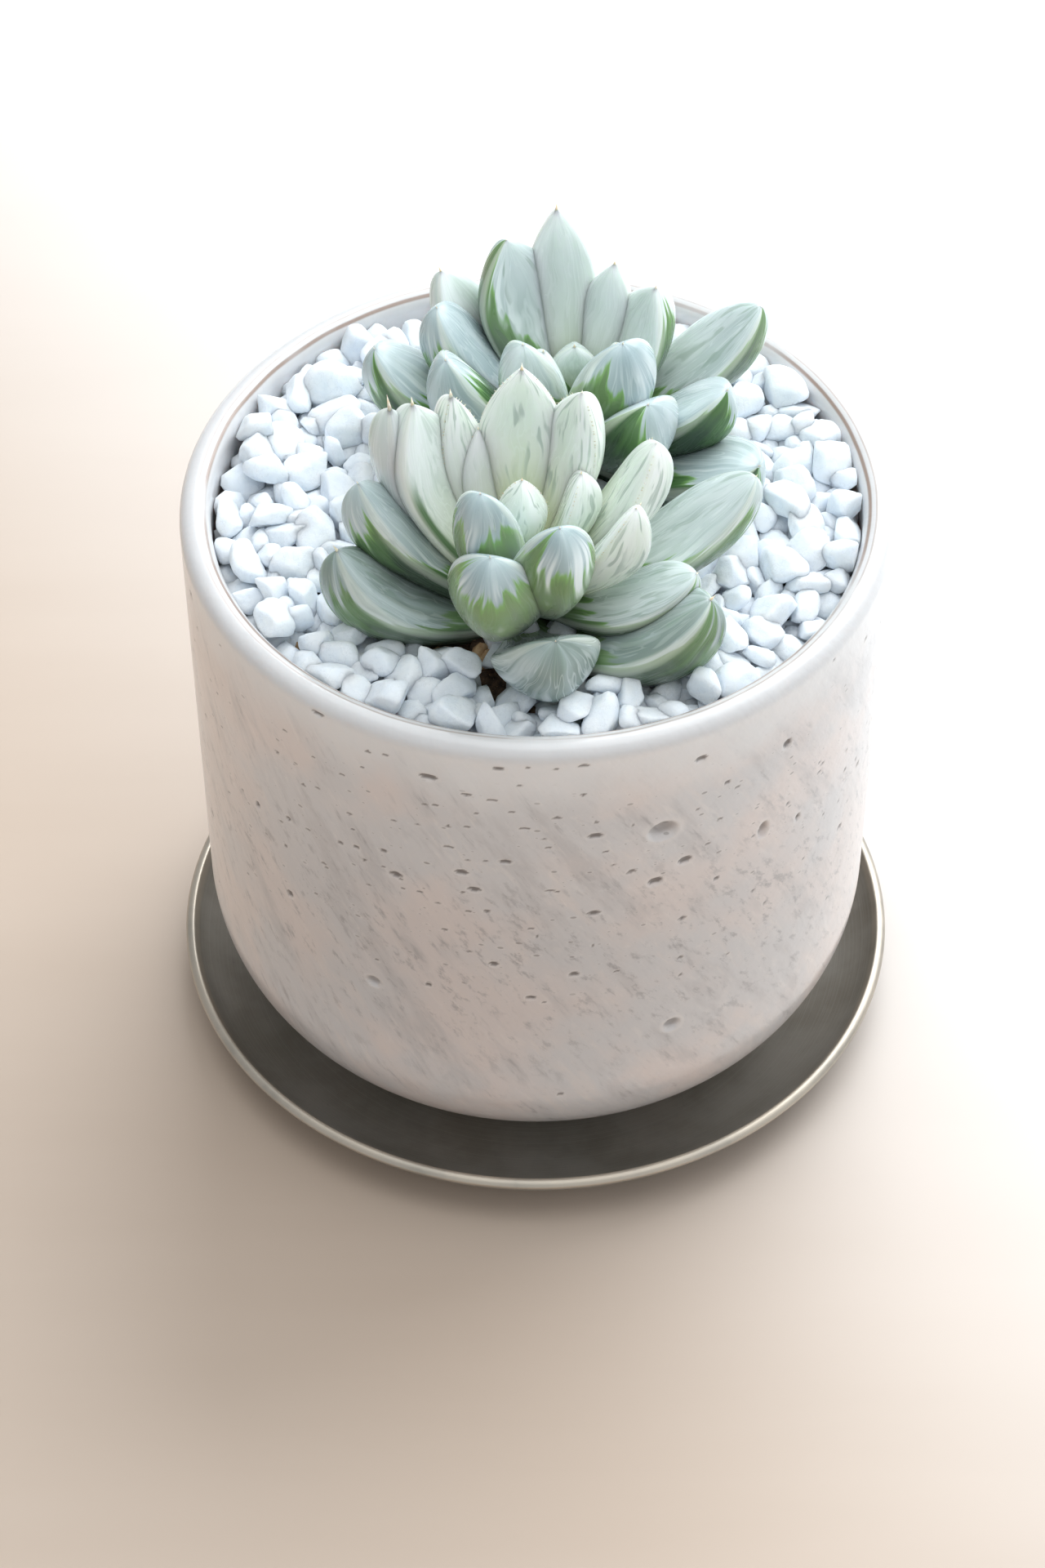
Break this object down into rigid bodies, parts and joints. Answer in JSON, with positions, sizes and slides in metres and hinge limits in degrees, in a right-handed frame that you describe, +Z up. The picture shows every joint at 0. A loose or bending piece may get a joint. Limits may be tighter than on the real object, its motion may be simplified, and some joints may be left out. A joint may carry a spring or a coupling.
{
  "type": "potted haworthia",
  "caption": "Haworthia with blunt windowed leaves, in a round bubble-glass pot topped with white stone chips, on a shallow metal saucer.",
  "frame": {"origin": "centre of the saucer's underside, on the pot's axis", "axes": "+Z up along the pot's axis, -Y towards the front of the pot, +X to the right"},
  "size_m": [0.1022, 0.1022, 0.1201],
  "materials": {
    "saucer_metal": "satin pewter-grey metal with a soft sheen",
    "bubble_glass": "milky hand-made glass with trapped bubbles and a glossy rounded rim",
    "potting_soil": "rough dark brown potting mix",
    "white_stone": "matte crushed white marble",
    "front_leaf": "waxy translucent leaf skin, pale windows over green, cream in the heart",
    "back_leaf": "waxy translucent leaf skin, pale windows over green"
  },
  "bodies": {
    "root": {"saucer": "saucer_metal", "glass_pot": "bubble_glass", "soil": "potting_soil", "gravel": "white_stone", "front_rosette": "front_leaf", "back_rosette": "back_leaf"}
  },
  "joints": []
}
